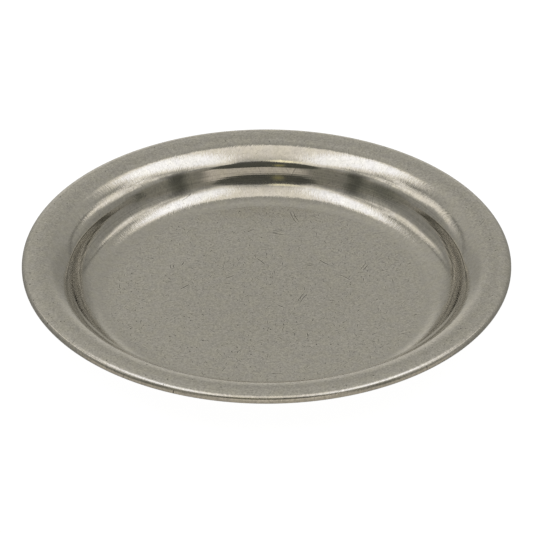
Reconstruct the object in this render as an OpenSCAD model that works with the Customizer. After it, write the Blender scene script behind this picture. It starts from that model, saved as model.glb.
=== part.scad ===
// Paten plate: a shallow round communion dish, cast and turned in one solid piece of metal.
// The section, from the edge inwards: a thick rounded edge, a rim that falls slightly
// towards the edge, a roll that turns down in three arcs, a steep wall, a wide inner
// corner and a flat well. The metal is equally thick all over, so the underside
// follows the top, and the plate rests on the flat underside of the well.
// +Z is up, and the origin is the centre of the flat base.

/* [Plate] */
// Overall diameter
plate_d = 125; // [100:1:170]
// Depth of the well below the highest line of the rim
well_depth = 11.6; // [10.8:0.1:16]
// Thickness of the metal
metal_t = 2.1; // [1.7:0.1:3]

/* [Edge] */
// Distance from the edge in to the highest line of the rim
edge_w = 4.4; // [3:0.1:8]
// Slope of the rim where its easing to the edge begins, in degrees
rim_fall = 3; // [1.5:0.5:8]
// Radius of the easing between the rim and the rounded edge
ease_r = 3; // [1.5:0.5:6]
// Slope at which the easing ends, in degrees
ease_fall = 26; // [15:1:40]
// Radius of the edge's upper rounding
edge_top_r = 1.35; // [0.8:0.05:1.8]

/* [Roll into the well] */
// Radius of the first arc, next to the highest line
brim_r = 7.8; // [5:0.2:10]
// Slope at which the first arc ends, in degrees
brim_slope = 26.8; // [8:0.2:40]
// Radius of the second, broad arc
roll_r = 13.2; // [8:0.2:16]
// Slope at which the second arc ends, in degrees
roll_slope = 47.6; // [30:0.2:54]
// Radius of the third, tight arc at the head of the wall
shoulder_r = 4.6; // [2.6:0.1:6]
// Slope of the wall, in degrees
wall_slope = 66; // [52:1:70]
// Radius of the inner corner between the wall and the floor of the well
corner_r = 9.5; // [4:0.1:10]

/* [Hidden] */
$fn = 180;

metal_colour = [0.62, 0.60, 0.56];
// Largest turn between two neighbouring points of an arc, in degrees
arc_step = 3;

top_z = metal_t + well_depth;
crown_x = plate_d / 2 - edge_w;

// Unit vector at a polar angle. A top face that slopes down towards the axis by s has its normal at 90 + s.
function unit(a) = [cos(a), sin(a)];

// The points of an arc after its first one, from one polar angle to another
function arc(centre, r, from, to) =
    let (steps = ceil(abs(to - from) / arc_step))
    [for (i = [1:steps]) centre + r * unit(from + (to - from) * i / steps)];

// The roll. Neighbouring arcs share a normal where they meet, and both centres lie on that line.
brim_c = [crown_x, top_z - brim_r];
roll_c = brim_c + (brim_r - roll_r) * unit(90 + brim_slope);
shoulder_c = roll_c + (roll_r - shoulder_r) * unit(90 + roll_slope);
wall_head = shoulder_c + shoulder_r * unit(90 + wall_slope);

// The wall is straight over the height that the arcs leave, down to the inner corner.
corner_h = corner_r * (1 - cos(wall_slope));
wall_l = (wall_head[1] - metal_t - corner_h) / sin(wall_slope);
wall_foot = wall_head - wall_l * unit(wall_slope);
corner_c = wall_foot + corner_r * unit(90 + wall_slope);

// Outside its highest line the rim is one shallow arc. The easing and the edge's upper rounding
// take up the rest of the width.
ease_w = ease_r * (sin(ease_fall) - sin(rim_fall));
edge_top_w = edge_top_r * (1 - sin(ease_fall));
rim_r = (edge_w - ease_w - edge_top_w) / sin(rim_fall);
rim_c = [crown_x, top_z - rim_r];
ease_c = rim_c + (rim_r - ease_r) * unit(90 - rim_fall);
edge_top_c = ease_c + (ease_r - edge_top_r) * unit(90 - ease_fall);

// Below, the rim's underside runs into a small lower rounding.
edge_low_r = metal_t - (top_z - edge_top_c[1]);
rim_low_r = rim_r - metal_t;
low_fall = asin((edge_w - edge_low_r) / (rim_low_r + edge_low_r));
edge_low_c = rim_c + (rim_low_r + edge_low_r) * unit(90 - low_fall);

// From the centre of the well up and out to the edge
top_face = concat(
    [[0, metal_t], [corner_c[0], metal_t]],
    arc(corner_c, corner_r, 270, 270 + wall_slope),
    [wall_head],
    arc(shoulder_c, shoulder_r, 90 + wall_slope, 90 + roll_slope),
    arc(roll_c, roll_r, 90 + roll_slope, 90 + brim_slope),
    arc(brim_c, brim_r, 90 + brim_slope, 90),
    arc(rim_c, rim_r, 90, 90 - rim_fall)
);

// Round the edge, from the top face to the underside
edge_face = concat(
    arc(ease_c, ease_r, 90 - rim_fall, 90 - ease_fall),
    arc(edge_top_c, edge_top_r, 90 - ease_fall, 0),
    [edge_low_c + [edge_low_r, 0]],
    arc(edge_low_c, edge_low_r, 0, -90 - low_fall)
);

// Back along the underside, one metal thickness from the top face, to the centre of the base
under_face = concat(
    arc(rim_c, rim_low_r, 90 - low_fall, 90),
    arc(brim_c, brim_r - metal_t, 90, 90 + brim_slope),
    arc(roll_c, roll_r - metal_t, 90 + brim_slope, 90 + roll_slope),
    arc(shoulder_c, shoulder_r - metal_t, 90 + roll_slope, 90 + wall_slope),
    [wall_foot - metal_t * unit(90 + wall_slope)],
    arc(corner_c, corner_r + metal_t, 270 + wall_slope, 270),
    [[0, 0]]
);

// The whole plate, turned about its axis
module dish() {
    color(metal_colour)
        rotate_extrude()
            polygon(concat(top_face, edge_face, under_face));
}

dish();
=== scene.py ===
"""Paten plate: the looks of the turned pewter dish, its studio surroundings, floor and camera.

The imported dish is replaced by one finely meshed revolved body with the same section. All lengths
are metres unless a name or a comment says millimetres. +Z is the plate's axis.
"""
import math

import bpy
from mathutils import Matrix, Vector, noise


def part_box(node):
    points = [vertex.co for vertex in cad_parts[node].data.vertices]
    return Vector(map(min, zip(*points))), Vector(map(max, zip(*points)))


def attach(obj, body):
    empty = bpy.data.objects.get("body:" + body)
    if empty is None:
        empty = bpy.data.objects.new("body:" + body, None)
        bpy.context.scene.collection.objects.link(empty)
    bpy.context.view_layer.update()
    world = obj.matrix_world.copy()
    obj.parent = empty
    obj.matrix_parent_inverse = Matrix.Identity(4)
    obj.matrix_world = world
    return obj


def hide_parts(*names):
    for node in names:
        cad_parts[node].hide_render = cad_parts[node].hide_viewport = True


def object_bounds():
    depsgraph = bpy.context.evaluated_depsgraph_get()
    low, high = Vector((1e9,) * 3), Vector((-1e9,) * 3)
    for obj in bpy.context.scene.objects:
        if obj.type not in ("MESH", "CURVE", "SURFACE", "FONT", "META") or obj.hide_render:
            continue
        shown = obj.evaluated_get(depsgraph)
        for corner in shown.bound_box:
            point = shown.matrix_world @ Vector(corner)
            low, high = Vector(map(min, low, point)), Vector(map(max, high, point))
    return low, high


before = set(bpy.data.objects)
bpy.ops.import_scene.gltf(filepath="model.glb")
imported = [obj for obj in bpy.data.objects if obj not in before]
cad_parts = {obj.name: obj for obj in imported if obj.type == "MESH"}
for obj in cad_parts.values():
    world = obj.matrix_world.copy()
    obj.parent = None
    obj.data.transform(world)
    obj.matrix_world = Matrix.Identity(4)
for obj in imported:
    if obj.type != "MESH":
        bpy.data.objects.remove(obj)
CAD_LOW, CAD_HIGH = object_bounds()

MM = 0.001

# The dish's section, in millimetres and degrees, with the names that the CAD source uses. The
# diameter and the height come from the frame.
DISH_LOW, DISH_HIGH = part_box("dish")
PLATE_R = DISH_HIGH.x / MM
TOP_Z = DISH_HIGH.z / MM
METAL_T = 2.1
EDGE_W = 4.4
RIM_FALL = 3
EASE_R = 3
EASE_FALL = 26
EDGE_TOP_R = 1.35
BRIM_R = 7.8
BRIM_SLOPE = 26.8
ROLL_R = 13.2
ROLL_SLOPE = 47.6
SHOULDER_R = 4.6
WALL_SLOPE = 66
CORNER_R = 9.5

# What the CAD doesn't have, in millimetres and degrees: turned lines at the top of the inner
# corner, an easy curve between the floor and the corner, and the unevenness that cleaning has left
# on the top face, in broad patches and in smaller ones
GROOVES = 5
GROOVE_DEPTH = 0.004
GROOVE_SPAN = 15
FLOOR_EASE = 3.3
FLOOR_LIFT = 0.09
WEAR_DEPTH = 0.03
WEAR_SIZE = 7.0
WEAR_FINER = 2.3
WEAR_SHIFT = Vector((5.0, 3.0, 1.0))

# Segments of the mesh round the axis
SEGMENTS = 480

# The camera: degrees above the horizontal, distance in plate radii, the plate's share of the
# picture's width, and how far below the rim's highest line it aims
ELEVATION = 33.56
DISTANCE = 24
PLATE_SHARE = 0.9176
AIM_DROP = 0.00285

# The floor: half its width in plate radii, and the gap between it and the base
FLOOR_HALF = 12
FLOOR_GAP = 0.0001

# What every brightness of the studio is multiplied by
STUDIO_GAIN = 1.32

# Relief of the metal, in micrometres
GRAIN = 2.4
SPECKLE = 3.0
STROKES_CORNER = 17.0
STROKES_ROLL = 12.0
HATCHING = 14.0
SCRATCH = -3.0
PIT = -9.0

# Roughness of each zone
ROUGH_BURNISHED = 0.065
ROUGH_RIM = 0.23
ROUGH_FLOOR = 0.19
ROUGH_FOOT = 0.12
ROUGH_BELOW = 0.34

# Colours of the metal, which differ from place to place
PEWTER_GREY = (0.470, 0.457, 0.426, 1)
PEWTER_YELLOWISH = (0.483, 0.469, 0.420, 1)
PEWTER_PALE = (0.488, 0.474, 0.442, 1)

# Size of the areas where scratches gather, in millimetres, and the height of a scratch's burrs as
# a share of its depth, which in the colour is also a painted highlight beside each scratch
CROWD_SIZE = 17.0
BURR_AND_HIGHLIGHT = 0.3


def unit(angle):
    """Unit vector (r, z) at a polar angle in degrees."""
    return Vector((math.cos(math.radians(angle)), math.sin(math.radians(angle))))


def sin_deg(angle):
    return math.sin(math.radians(angle))


def arc(centre, radius, start, end, steps):
    """The points of an arc after its first one."""
    return [centre + radius * unit(start + (end - start) * i / steps) for i in range(1, steps + 1)]


def grooved_arc(centre, radius, start, end, steps):
    """The same with fine grooves cut into its far side, all of the same width."""
    points = []
    for i in range(1, steps + 1):
        depth = GROOVE_DEPTH * (0.5 - 0.5 * math.cos(math.tau * GROOVES * i / steps))
        points.append(centre + (radius + depth) * unit(start + (end - start) * i / steps))
    return points


def line(start, end, steps):
    """The points of a straight stretch after its first one."""
    return [start.lerp(end, i / steps) for i in range(1, steps + 1)]


class Section:
    """The arcs of the dish's section, each tangent to the next, as (r, z) in millimetres."""

    def __init__(self):
        crown_x = PLATE_R - EDGE_W
        self.brim = Vector((crown_x, TOP_Z - BRIM_R))
        self.roll = self.brim + (BRIM_R - ROLL_R) * unit(90 + BRIM_SLOPE)
        self.shoulder = self.roll + (ROLL_R - SHOULDER_R) * unit(90 + ROLL_SLOPE)
        self.wall_head = self.shoulder + SHOULDER_R * unit(90 + WALL_SLOPE)
        corner_h = CORNER_R * (1 - math.cos(math.radians(WALL_SLOPE)))
        wall_l = (self.wall_head.y - METAL_T - corner_h) / sin_deg(WALL_SLOPE)
        self.wall_foot = self.wall_head - wall_l * unit(WALL_SLOPE)
        self.corner = self.wall_foot + CORNER_R * unit(90 + WALL_SLOPE)

        ease_w = EASE_R * (sin_deg(EASE_FALL) - sin_deg(RIM_FALL))
        edge_top_w = EDGE_TOP_R * (1 - sin_deg(EASE_FALL))
        self.rim_r = (EDGE_W - ease_w - edge_top_w) / sin_deg(RIM_FALL)
        self.rim = Vector((crown_x, TOP_Z - self.rim_r))
        self.ease = self.rim + (self.rim_r - EASE_R) * unit(90 - RIM_FALL)
        self.edge_top = self.ease + (EASE_R - EDGE_TOP_R) * unit(90 - EASE_FALL)
        self.edge_low_r = METAL_T - (TOP_Z - self.edge_top.y)
        self.rim_low_r = self.rim_r - METAL_T
        reach = self.rim_low_r + self.edge_low_r
        self.low_fall = math.degrees(math.asin((EDGE_W - self.edge_low_r) / reach))
        self.edge_low = self.rim + reach * unit(90 - self.low_fall)

    def outline(self):
        """The points from the floor's centre over the rim and back below to the base's centre.

        Also gives how many of them lie on the top face. The last number in each call of line and
        arc is how many steps it has.
        """
        lift = FLOOR_LIFT / sin_deg(WALL_SLOPE) * unit(WALL_SLOPE)
        corner = self.corner + lift
        floor_edge_painted_light = Vector((corner.x - FLOOR_EASE, METAL_T))
        ease_r = CORNER_R + (FLOOR_EASE ** 2 + FLOOR_LIFT ** 2) / (2 * FLOOR_LIFT)
        ease_slope = math.degrees(math.asin(FLOOR_EASE / (ease_r - CORNER_R)))
        grooves_start = 270 + WALL_SLOPE - GROOVE_SPAN
        edge_side = self.edge_top + EDGE_TOP_R * unit(0)
        edge_low_side = self.edge_low + self.edge_low_r * unit(0)
        below = METAL_T * unit(90 + WALL_SLOPE)
        base_edge = Vector((self.corner.x, 0))

        points = line(Vector((0, METAL_T)), floor_edge_painted_light, 13)
        points += arc(floor_edge_painted_light + Vector((0, ease_r)), ease_r, 270, 270 + ease_slope, 5)
        points += arc(corner, CORNER_R, 270 + ease_slope, grooves_start, 20)
        points += grooved_arc(corner, CORNER_R, grooves_start, 270 + WALL_SLOPE, 40)
        points += line(self.wall_foot + lift, self.wall_head, 4)
        points += arc(self.shoulder, SHOULDER_R, 90 + WALL_SLOPE, 90 + ROLL_SLOPE, 8)
        points += arc(self.roll, ROLL_R, 90 + ROLL_SLOPE, 90 + BRIM_SLOPE, 14)
        points += arc(self.brim, BRIM_R, 90 + BRIM_SLOPE, 90, 10)
        points += arc(self.rim, self.rim_r, 90, 90 - RIM_FALL, 6)
        top_count = len(points)

        points += arc(self.ease, EASE_R, 90 - RIM_FALL, 90 - EASE_FALL, 8)
        points += arc(self.edge_top, EDGE_TOP_R, 90 - EASE_FALL, 0, 12)
        points += line(edge_side, edge_low_side, 1)
        points += arc(self.edge_low, self.edge_low_r, 0, -90 - self.low_fall, 10)
        points += arc(self.rim, self.rim_low_r, 90 - self.low_fall, 90, 6)
        points += arc(self.brim, BRIM_R - METAL_T, 90, 90 + BRIM_SLOPE, 5)
        points += arc(self.roll, ROLL_R - METAL_T, 90 + BRIM_SLOPE, 90 + ROLL_SLOPE, 7)
        points += arc(self.shoulder, SHOULDER_R - METAL_T, 90 + ROLL_SLOPE, 90 + WALL_SLOPE, 3)
        points += line(self.wall_head - below, self.wall_foot - below, 2)
        points += arc(self.corner, CORNER_R + METAL_T, 270 + WALL_SLOPE, 270, 14)
        points += line(base_edge, Vector((0, 0)), 8)[:-1]
        return points, top_count


def worn(place):
    """How deep the top face is worn at a place, both in millimetres. On average half the depth."""
    broad = noise.noise(place / WEAR_SIZE)
    small = noise.noise(place * (WEAR_FINER / WEAR_SIZE) + WEAR_SHIFT)
    share = 0.5 + 0.7 * broad + 0.25 * small
    return WEAR_DEPTH * min(1.0, max(0.0, share))


def revolve(points, top_count, segments):
    """A closed mesh round the Z axis, from (r, z) points in millimetres that run from pole to pole.

    The first top_count points are on the top face, which is slightly worn.
    """
    verts = [(0, 0, (METAL_T - WEAR_DEPTH / 2) * MM)]
    for i, point in enumerate(points):
        along = points[min(i + 1, len(points) - 1)] - points[max(i - 1, 0)]
        inwards = Vector((along.y, -along.x)).normalized()
        for k in range(segments):
            turn = math.tau * k / segments
            r, z = point
            if i < top_count:
                r, z = point + inwards * worn(Vector((r * math.cos(turn), r * math.sin(turn), z)))
            verts.append((r * MM * math.cos(turn), r * MM * math.sin(turn), z * MM))
    verts.append((0, 0, 0))
    faces = []
    for k in range(segments):
        after = (k + 1) % segments
        faces.append((0, 1 + k, 1 + after))
    for ring in range(len(points) - 1):
        here = 1 + ring * segments
        there = here + segments
        for k in range(segments):
            after = (k + 1) % segments
            faces.append((here + k, there + k, there + after, here + after))
    last = 1 + (len(points) - 1) * segments
    for k in range(segments):
        after = (k + 1) % segments
        faces.append((last + after, last + k, len(verts) - 1))
    mesh = bpy.data.meshes.new("paten_dish")
    mesh.from_pydata(verts, [], faces)
    mesh.shade_smooth()
    mesh.update()
    return mesh


class Graph:
    """Short calls that add nodes to one node tree and return the socket that matters."""

    def __init__(self, tree):
        self.tree = tree
        tree.nodes.clear()

    def node(self, kind, **inputs):
        made = self.tree.nodes.new(kind)
        for name, value in inputs.items():
            self.put(made.inputs[name.replace("_", " ")], value)
        return made

    def put(self, socket, value):
        if isinstance(value, bpy.types.NodeSocket):
            self.tree.links.new(value, socket)
        else:
            socket.default_value = value

    def math(self, operation, *values):
        made = self.tree.nodes.new("ShaderNodeMath")
        made.operation = operation
        for socket, value in zip(made.inputs, values):
            self.put(socket, value)
        return made.outputs[0]

    def ramp(self, value, low, high, out_low=0.0, out_high=1.0):
        """Runs smoothly from out_low to out_high as value goes from low to high."""
        made = self.tree.nodes.new("ShaderNodeMapRange")
        made.interpolation_type = "SMOOTHSTEP"
        for socket, number in zip(made.inputs, (value, low, high, out_low, out_high)):
            self.put(socket, number)
        return made.outputs[0]

    def blend(self, factor, low, high):
        """low where factor is 0, high where it is 1."""
        made = self.tree.nodes.new("ShaderNodeMix")
        made.data_type = "FLOAT"
        for index, value in ((0, factor), (2, low), (3, high)):
            self.put(made.inputs[index], value)
        return made.outputs[0]

    def mix(self, factor, low, high):
        """The same for colours."""
        made = self.tree.nodes.new("ShaderNodeMix")
        made.data_type = "RGBA"
        for index, value in ((0, factor), (6, low), (7, high)):
            self.put(made.inputs[index], value)
        return made.outputs[2]

    def mix_shaders(self, factor, low, high):
        """The same for two shader nodes."""
        made = self.node("ShaderNodeMixShader", Fac=factor)
        self.put(made.inputs[1], low.outputs[0])
        self.put(made.inputs[2], high.outputs[0])
        return made.outputs[0]

    def output(self, kind, surface):
        """Adds the tree's output node."""
        self.put(self.node(kind).inputs["Surface"], surface)

    def total(self, *values):
        """The sum of any number of values."""
        result = values[0]
        for value in values[1:]:
            result = self.math("ADD", result, value)
        return result

    def times(self, *values):
        """The product of any number of values."""
        result = values[0]
        for value in values[1:]:
            result = self.math("MULTIPLY", result, value)
        return result

    def vector(self, operation, *values):
        made = self.tree.nodes.new("ShaderNodeVectorMath")
        made.operation = operation
        for socket, value in zip(made.inputs, values):
            self.put(socket, value)
        return made.outputs[0]

    def scale(self, vector, factor):
        made = self.tree.nodes.new("ShaderNodeVectorMath")
        made.operation = "SCALE"
        self.put(made.inputs[0], vector)
        self.put(made.inputs["Scale"], factor)
        return made.outputs[0]

    def split(self, vector):
        return self.node("ShaderNodeSeparateXYZ", Vector=vector).outputs

    def join(self, x, y, z):
        return self.node("ShaderNodeCombineXYZ", X=x, Y=y, Z=z).outputs[0]

    def noise(self, place, size, detail=2.0):
        """Noise of about the given grain size, -1 to 1."""
        made = self.node("ShaderNodeTexNoise", Vector=place, Scale=1.0 / size, Detail=detail)
        return self.math("MULTIPLY_ADD", made.outputs[0], 2.0, -1.0)

    def cells(self, place, size):
        """Random flat cells: the centre, three random numbers and the distance from the centre."""
        made = self.tree.nodes.new("ShaderNodeTexVoronoi")
        made.voronoi_dimensions = "2D"
        self.put(made.inputs["Vector"], place)
        self.put(made.inputs["Scale"], 1.0 / size)
        far = self.math("MULTIPLY", made.outputs["Distance"], size)
        return made.outputs["Position"], self.split(made.outputs["Color"]), far

    def scratches(self, place, cell, length, width, share, shift, bend=0.0, pair=0.0):
        """One straight or bent mark in a share of the random cells, each in its own direction.

        The share is greater where marks gather. A mark is 1 along its line and a little below 0 on
        the burrs beside it, which in the colour makes a painted highlight. With pair it is two
        parallel lines that far apart. Shift moves the cells, so that each kind of mark has its own.
        """
        moved = self.vector("ADD", place, (shift, -shift, 0.0))
        centre, chance, _ = self.cells(moved, cell)
        turned = self.node("ShaderNodeVectorRotate", Vector=self.vector("SUBTRACT", moved, centre),
                           Angle=self.math("MULTIPLY", chance[0], math.tau))
        turned.rotation_type = "Z_AXIS"
        along, across, _ = self.split(turned.outputs[0])
        if bend:
            across = self.math("ADD", across, self.times(along, along, bend))
        if pair:
            across = self.math("SUBTRACT", self.math("ABSOLUTE", across), pair / 2)
        across = self.math("ABSOLUTE", across)
        mark = self.ramp(across, width, width * 0.3)
        burr_and_highlight = self.ramp(across, width * 2.3, width * 1.3)
        profile = self.math("MULTIPLY_ADD", burr_and_highlight, -BURR_AND_HIGHLIGHT, self.math("MULTIPLY", mark, 1 + BURR_AND_HIGHLIGHT))

        reach = self.math("MULTIPLY", self.math("ADD", chance[2], 0.4), length)
        ends = self.ramp(self.math("DIVIDE", self.math("ABSOLUTE", along), reach), 1.0, 0.6)
        gather = self.noise(centre, CROWD_SIZE, 1.0)
        crowd = self.ramp(gather, -0.15, 0.25, 0.25 * share, 2.1 * share)
        chosen = self.math("LESS_THAN", chance[1], crowd)
        return self.times(profile, ends, chosen)


class Sky(Graph):
    """The nodes of the surroundings, and their brightness so far.

    A direction is given as (lateral, height) in degrees. Lateral is the angle out of the camera's
    vertical plane, + to the right. Height runs from the far horizon at 0 over the zenith at 90
    to the near horizon at 180.
    """

    def __init__(self, tree):
        super().__init__(tree)
        self.direction = self.node("ShaderNodeTexCoord").outputs["Generated"]
        x, y, z = self.split(self.direction)
        self.lateral = self.math("DEGREES", self.math("ARCSINE", x))
        self.side = self.math("ABSOLUTE", self.lateral)
        around = self.math("DEGREES", self.math("ARCTAN2", z, y))
        full_turn = self.math("MULTIPLY", self.math("LESS_THAN", around, -90.0), 360.0)
        self.height = self.math("ADD", around, full_turn)
        self.level = None

    def spot(self, centre, half, blur, square=4.0, lean=0.0, paired=False):
        """1 inside a rounded patch, 0 outside. A paired patch lies on both sides.

        Blur is a share of the half size, square is 2 for an ellipse and more for a rounded
        rectangle, and lean is how far the patch shifts sideways for each degree of height.
        """
        up = self.math("SUBTRACT", self.height, centre[1])
        across = self.math("SUBTRACT", self.side if paired else self.lateral, centre[0])
        across = self.math("SUBTRACT", across, self.math("MULTIPLY", up, lean))
        powers = []
        for distance, size in ((across, half[0]), (up, half[1])):
            share = self.math("ABSOLUTE", self.math("DIVIDE", distance, size))
            powers.append(self.math("POWER", share, square))
        reach = self.math("POWER", self.math("ADD", *powers), 1.0 / square)
        return self.ramp(reach, 1 + blur, 1 - blur)

    def lay(self, where, brightness):
        """Puts a brightness over the surroundings, as far as where is above 0."""
        self.level = self.blend(where, self.level, brightness)

    def patch(self, centre, half, low, high, blur, **shape):
        """Lays a patch with its centre and half size given as (lateral, height).

        Its brightness runs from low at its foot to high at its top.
        """
        inside = self.ramp(self.height, centre[1] - half[1], centre[1] + half[1], low, high)
        self.lay(self.spot(centre, half, blur, **shape), inside)


def tent(sky):
    """The table, the walls, crumpled silver reflectors round the roof light, and seams."""
    table = sky.ramp(sky.side, 9.0, 25.0, 0.58, 0.33)
    far_wall = sky.blend(sky.ramp(sky.height, 14.0, 30.0), table, 0.42)
    far_wall = sky.math("ADD", far_wall, sky.ramp(sky.height, 28.0, 62.0, 0.0, 0.06))
    fade = sky.ramp(sky.lateral, -14.0, 14.0, 1.05, 0.92)
    far_wall = sky.math("MULTIPLY", far_wall, fade)
    sky.level = far_wall
    sky.lay(sky.ramp(sky.side, 46.0, 66.0), 0.31)           # side walls
    sky.lay(sky.ramp(sky.height, 95.0, 150.0), 0.25)        # near wall
    sky.lay(sky.ramp(sky.height, 176.0, 188.0), 0.42)       # the table in front
    sky.lay(sky.ramp(sky.height, -2.0, -12.0), 0.24)        # below the table's far edge

    # The reflectors are brightest at their two ends, and the far wall covers their foot
    ripple = sky.noise(sky.direction, 0.06, 3.0)
    above_wall = sky.ramp(sky.height, 38.0, 58.0)
    silver = sky.times(sky.spot((0.0, 76.0), (57.0, 51.0), 0.06, square=2.0), above_wall)
    sky.lay(silver, sky.math("MULTIPLY_ADD", ripple, 1.7, 0.86))
    sky.patch((-51.0, 62.0), (3.0, 25.0), 0.95, 1.0, 0.5)
    sky.patch((50.5, 64.0), (3.0, 17.0), 1.0, 1.1, 0.5)
    sky.lay(sky.spot((1.0, 34.0), (44.5, 46.0), 0.05, square=5.0), far_wall)

    # Seams, far and near
    sky.patch((-42.5, 26.0), (1.5, 36.0), 0.28, 0.24, 0.6, lean=-0.03)
    sky.patch((44.5, 28.0), (1.5, 34.0), 0.22, 0.24, 0.6, lean=0.11)
    sky.patch((46.5, 147.0), (5.0, 33.0), 0.11, 0.09, 0.6, lean=0.22, paired=True)
    sky.patch((73.0, 152.0), (2.0, 28.0), 0.13, 0.11, 0.6)
    sky.patch((-66.0, 152.0), (9.0, 30.0), 0.19, 0.15, 0.9)


def roof_light(sky):
    """An oval light whose dim middle lies between two bright strips, and dark gaps below it."""
    sky.patch((-37.0, 67.0), (7.0, 13.5), 0.40, 0.27, 0.3, lean=-0.2)
    sky.patch((38.5, 66.0), (7.0, 12.5), 0.38, 0.26, 0.3, lean=0.1)
    sky.patch((0.0, 76.5), (21.0, 8.5), 0.50, 0.38, 0.4, square=3.0)
    # Its frame, the light itself and its dim foot
    sky.patch((0.0, 97.5), (41.5, 30.0), 0.50, 0.36, 0.05, square=2.0)
    sky.patch((0.0, 97.0), (38.5, 28.0), 1.00, 0.80, 0.05, square=2.0)
    sky.patch((0.0, 70.0), (20.0, 14.2), 0.48, 0.38, 0.10, square=2.2)
    # The lower parts of the two strips, the strips themselves, and the middle's dim near end
    sky.patch((-24.5, 84.0), (7.0, 20.0), 1.20, 1.45, 0.35, square=2.0)
    sky.patch((26.5, 82.0), (7.0, 23.5), 0.95, 1.70, 0.35, square=2.0)
    sky.patch((-24.5, 97.0), (9.5, 28.0), 1.50, 1.35, 0.5, square=2.0, lean=0.2)
    sky.patch((25.0, 97.0), (10.0, 28.0), 1.55, 1.35, 0.5, square=2.0, lean=-0.25)
    sky.patch((0.0, 121.0), (13.0, 8.0), 0.70, 0.45, 0.6, square=2.0)


def studio_world():
    """Plain studio surroundings, which the metal mirrors. The camera itself sees plain white."""
    world = bpy.data.worlds.new("studio")
    world.use_nodes = True
    bpy.context.scene.world = world
    sky = Sky(world.node_tree)
    tent(sky)
    roof_light(sky)

    # Something tan beside the camera port, the port, the table in front of it and two warm glints
    sky.patch((15.5, 160.0), (17.0, 15.0), 0.64, 0.60, 0.2)
    sky.patch((0.5, 141.5), (25.5, 17.0), 0.10, 0.08, 0.07, square=2.4)
    sky.patch((2.0, 177.0), (25.0, 17.5), 0.58, 0.54, 0.12)
    above_port = sky.spot((-7.5, 124.0), (7.0, 2.6), 0.5, square=2.0)
    in_port = sky.spot((-6.0, 147.0), (2.6, 8.0), 0.6, square=2.0)
    sky.lay(above_port, 1.35)
    sky.lay(in_port, 0.27)
    level = sky.math("MULTIPLY", sky.level, STUDIO_GAIN)

    # The walls are warm, the silver is cool, and the near side is greenish where it is dark
    tint = sky.mix(sky.ramp(level, 0.6, 1.0), (1.03, 1.0, 0.917, 1), (1.05, 0.99, 0.90, 1))
    tint = sky.mix(sky.ramp(level, 1.2, 1.9), tint, (0.99, 0.99, 1.03, 1))
    near = sky.mix(sky.ramp(level, 0.15, 0.50), (1.02, 1.02, 0.86, 1), (1.08, 0.99, 0.86, 1))
    tint = sky.mix(sky.ramp(sky.height, 124.0, 136.0), tint, near)
    tint = sky.mix(above_port, tint, (1.02, 0.94, 0.67, 1))
    tint = sky.mix(in_port, tint, (1.02, 0.93, 0.42, 1))

    studio = sky.node("ShaderNodeBackground", Color=tint, Strength=level)
    plain = sky.node("ShaderNodeBackground", Color=(1, 1, 1, 1), Strength=1.0)
    seen = sky.node("ShaderNodeLightPath").outputs["Is Camera Ray"]
    sky.output("ShaderNodeOutputWorld", sky.mix_shaders(seen, studio, plain))


def pale_floor():
    """A wide pale floor just below the base, clear when seen from beneath.

    It isn't seen in the metal, which mirrors the studio.
    """
    half = FLOOR_HALF * CAD_HIGH.x
    z = DISH_LOW.z - FLOOR_GAP
    corners = [(-half, -half, z), (half, -half, z), (half, half, z), (-half, half, z)]
    mesh = bpy.data.meshes.new("floor")
    mesh.from_pydata(corners, [], [(0, 1, 2, 3)])
    floor = bpy.data.objects.new("floor", mesh)
    bpy.context.scene.collection.objects.link(floor)
    floor.visible_glossy = False
    material = bpy.data.materials.new("floor_paper")
    material.use_nodes = True
    g = Graph(material.node_tree)
    paper = g.node("ShaderNodeBsdfPrincipled", Base_Color=(0.12, 0.12, 0.12, 1), Roughness=0.9,
                   Specular_IOR_Level=0.0, Emission_Color=(1, 1, 1, 1), Emission_Strength=0.97)
    clear = g.node("ShaderNodeBsdfTransparent")
    beneath = g.node("ShaderNodeNewGeometry").outputs["Backfacing"]
    g.output("ShaderNodeOutputMaterial", g.mix_shaders(beneath, paper, clear))
    mesh.materials.append(material)


def camera():
    """A long lens in the plate's plane of symmetry, at the photograph's angle."""
    distance = DISTANCE * CAD_HIGH.x
    aim = Vector((0, 0, CAD_HIGH.z - AIM_DROP))
    data = bpy.data.cameras.new("camera")
    data.lens = data.sensor_width * distance * PLATE_SHARE / (2 * CAD_HIGH.x)
    data.clip_end = 4 * distance
    made = bpy.data.objects.new("camera", data)
    bpy.context.scene.collection.objects.link(made)
    angle = math.radians(ELEVATION)
    away = Vector((0, -math.cos(angle), math.sin(angle)))
    made.location = aim + distance * away
    made.rotation_mode = "QUATERNION"
    made.rotation_quaternion = (-away).to_track_quat("-Z", "Y")
    bpy.context.scene.camera = made


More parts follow.
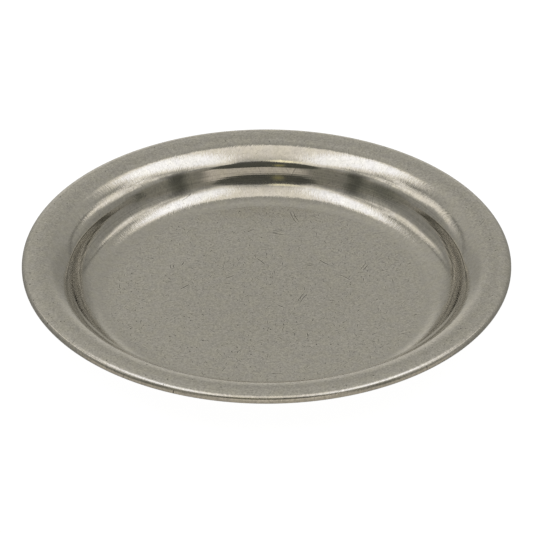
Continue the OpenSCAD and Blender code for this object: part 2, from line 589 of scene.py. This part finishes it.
class Metal(Graph):
    """The nodes of cast and turned pewter: satin rim and floor, burnished roll and corner.

    Places are in millimetres. Zones and marks run from 0 to 1, and noises from about -1 to 1.
    """

    def __init__(self, tree, section):
        super().__init__(tree)
        self.place = self.scale(self.node("ShaderNodeTexCoord").outputs["Object"], 1 / MM)
        x, y, self.z = self.split(self.place)
        self.flat = self.join(x, y, 0.0)
        self.radius = self.math("SQRT", self.total(self.times(x, x), self.times(y, y)))
        self.turn = self.math("ARCTAN2", y, x)
        self.crown_r = section.brim.x
        self.foot_r = section.wall_foot.x
        self.add_zones(section.corner.x)
        self.add_unevenness()
        self.add_turning()
        self.add_scratches()
        self.add_pits()

    def ring(self, inner, inner_end, outer_end, outer):
        """1 between two radii, and fading to 0 towards the inner and the outer one."""
        return self.times(self.ramp(self.radius, inner, inner_end),
                          self.ramp(self.radius, outer, outer_end))

    def add_zones(self, floor_r):
        """Where the metal differs. The foot is the wall's, and the wall has the least polishing."""
        crown_r, foot_r = self.crown_r, self.foot_r
        facing_up = self.split(self.node("ShaderNodeNewGeometry").outputs["Normal"])[2]
        self.below = self.ramp(facing_up, -0.05, -0.3)
        self.on_floor = self.ramp(self.radius, floor_r + 2.0, floor_r - 2.5)
        self.on_rim = self.ramp(self.radius, crown_r - 3.4, crown_r - 1.4)
        self.near_foot = self.ring(foot_r - 3.0, foot_r - 1.8, foot_r + 0.2, foot_r + 1.0)
        self.on_wall = self.ring(foot_r - 3.2, foot_r - 1.6, foot_r + 1.0, foot_r + 2.4)
        self.satin = self.math("MAXIMUM", self.on_floor, self.on_rim)
        burnished = self.math("SUBTRACT", 1.0, self.satin)
        self.brushed = self.times(burnished, self.math("MULTIPLY_ADD", self.on_wall, -0.85, 1.0))

    def add_unevenness(self):
        """Clouds and patches, and the grain left by casting and by years of wiping."""
        self.cloud = self.noise(self.place, 9.0, 3.0)
        self.mottle = self.noise(self.place, 2.6, 3.0)
        shifted = self.vector("ADD", self.place, (40.0, 7.0, 0.0))
        self.patches = self.ramp(self.noise(shifted, 13.0, 1.0), 0.05, 0.35)
        self.grain = self.noise(self.place, 0.55, 2.0)
        self.speckle = self.noise(self.place, 1.1, 3.0)

    def streaks(self, around, width, length, layer, detail):
        """Noise stretched along the radius."""
        stretched = self.join(self.math("DIVIDE", around, width),
                              self.math("DIVIDE", self.radius, length), layer)
        return self.noise(stretched, 1.0, detail)

    def add_turning(self):
        """Marks of polishing, which run across the roll and the corner, and of the turning tool."""
        around = self.math("MULTIPLY", self.turn, self.crown_r)
        waved = self.total(around, self.math("MULTIPLY", self.speckle, 0.5))
        self.strokes = self.streaks(waved, 0.42, 1.1, 0.0, 3.0)
        slanted = self.total(around, self.math("MULTIPLY", self.radius, 1.1))
        self.hatching = self.streaks(slanted, 0.42, 3.2, 5.0, 1.0)
        rings = self.join(self.radius, self.math("MULTIPLY", self.turn, 0.4), self.z)
        self.turned = self.noise(rings, 0.3, 2.0)

    def add_scratches(self):
        """Long and short scratches, nicks and hairlines, and painted glints: hairlines that
        only lighten the colour.
        """
        flat = self.flat
        gouges = self.scratches(flat, cell=11.0, length=1.7, width=0.17, share=0.35, shift=3.0,
                                bend=0.04)
        twins = self.scratches(flat, cell=16.0, length=2.2, width=0.14, share=0.35, shift=44.0,
                               bend=-0.03, pair=0.8)
        short = self.scratches(flat, cell=3.8, length=0.7, width=0.14, share=0.6, shift=71.0)
        ticks = self.scratches(flat, cell=2.9, length=0.45, width=0.13, share=0.6, shift=95.0,
                               bend=0.2)
        nicks = self.scratches(flat, cell=2.0, length=0.36, width=0.17, share=0.6, shift=123.0,
                               bend=0.5)
        hairs = self.scratches(flat, cell=1.5, length=0.7, width=0.10, share=0.7, shift=160.0,
                               bend=0.3)
        # Painted glints: hairlines that only make the colour lighter, a painted highlight
        self.painted_glints = self.scratches(flat, cell=1.3, length=0.6, width=0.11, share=0.7,
                                     shift=207.0, bend=-0.3)
        scratched = self.total(gouges, twins, self.times(short, 0.7), self.times(ticks, 0.75),
                               self.times(nicks, 0.5), self.times(hairs, 0.22))
        self.scratched = self.times(scratched, self.blend(self.on_floor, 0.3, 1.0),
                                    self.math("SUBTRACT", 1.0, self.below))

    def add_pits(self):
        """Small round pits, mostly in the patches."""
        moved = self.vector("ADD", self.flat, (9.0, 31.0, 0.0))
        _, chance, far = self.cells(moved, 1.7)
        size = self.math("MULTIPLY_ADD", chance[0], 0.16, 0.09)
        pit = self.ramp(self.math("DIVIDE", far, size), 1.0, 0.35)
        chosen = self.math("LESS_THAN", chance[1], self.blend(self.patches, 0.07, 0.45))
        self.pits = self.times(pit, chosen, self.blend(self.satin, 0.25, 1.0))

    def bump(self):
        """The normal, from the relief in micrometres. The wall is calmer than the rest."""
        strokes = self.ramp(self.radius, self.foot_r - 2.0, self.foot_r,
                            STROKES_CORNER, STROKES_ROLL)
        turned = self.total(self.on_rim, self.times(self.near_foot, 1.2),
                            self.times(self.below, 3.0))
        relief = self.total(
            self.times(self.grain, GRAIN, self.math("MULTIPLY_ADD", self.on_wall, -0.8, 1.0)),
            self.times(self.speckle, SPECKLE, self.math("MULTIPLY_ADD", self.on_wall, -0.6, 1.0)),
            self.times(self.strokes, self.brushed, strokes),
            self.times(self.hatching, self.patches, self.brushed, HATCHING),
            self.times(self.turned, turned),
            self.times(self.scratched, SCRATCH),
            self.times(self.pits, PIT))
        height = self.times(relief, MM * MM)
        return self.node("ShaderNodeBump", Strength=1.0, Distance=1.0, Height=height).outputs[0]

    def roughness(self):
        rough = self.blend(self.on_rim, ROUGH_BURNISHED, ROUGH_RIM)
        rough = self.blend(self.on_floor, rough, ROUGH_FLOOR)
        rough = self.blend(self.near_foot, rough, ROUGH_FOOT)
        rough = self.blend(self.below, rough, ROUGH_BELOW)
        return self.total(rough, self.times(self.mottle, 0.03), self.times(self.scratched, 0.12),
                          self.times(self.pits, 0.2))

    def colour(self):
        """Mottled pewter, darkened by tarnish in the marks and lightened by what is rubbed. It also
        has painted highlights on the burrs beside scratches and along glinting hairlines, and
        painted light that makes the floor's outer part lighter.
        """
        yellowish = self.ramp(self.mottle, -0.35, 0.35)
        pale = self.times(self.ramp(self.cloud, 0.0, 0.5), 0.6)
        metal = self.mix(yellowish, PEWTER_GREY, PEWTER_YELLOWISH)
        metal = self.mix(pale, metal, PEWTER_PALE)
        # Painted light: the floor's colour is made lighter towards its outer part, against a darker
        # reflection there
        floor_edge_painted_light = self.ramp(self.radius, 18.0, 30.0)
        plate_edge = self.ramp(self.radius, self.crown_r + 0.4, self.crown_r + 1.8)
        tarnish_and_painted_light = self.total(
            # tarnish in the scratches, and a painted highlight where the burrs beside them go below
            # 0
            self.times(self.scratched, 0.85),
            self.times(self.pits, 0.9),
            self.times(self.near_foot, 0.10),
            # painted glints: lighter colour along hairlines on the satin zones
            self.times(self.painted_glints, self.satin, -0.14),
            self.times(self.grain, self.blend(self.satin, 0.15, 0.36)),
            self.times(self.speckle, 0.15),
            self.times(floor_edge_painted_light, self.on_floor, -0.03),
            self.times(self.on_rim, 0.03),
            self.times(self.turned, self.on_wall, 0.25),
            self.times(plate_edge, -0.08))
        return self.scale(metal, self.math("SUBTRACT", 1.0, tarnish_and_painted_light))


def pewter(section):
    """The dish's one material."""
    material = bpy.data.materials.new("pewter")
    material.use_nodes = True
    g = Metal(material.node_tree, section)
    shader = g.node("ShaderNodeBsdfPrincipled", Base_Color=g.colour(), Metallic=1.0,
                    Roughness=g.roughness(), Normal=g.bump())
    g.output("ShaderNodeOutputMaterial", shader.outputs[0])
    return material


camera()
studio_world()
pale_floor()
bpy.context.scene.view_settings.view_transform = "Standard"

section = Section()
dish = bpy.data.objects.new("paten_dish", revolve(*section.outline(), SEGMENTS))
bpy.context.scene.collection.objects.link(dish)
dish.data.materials.append(pewter(section))
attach(dish, "root")
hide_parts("dish")
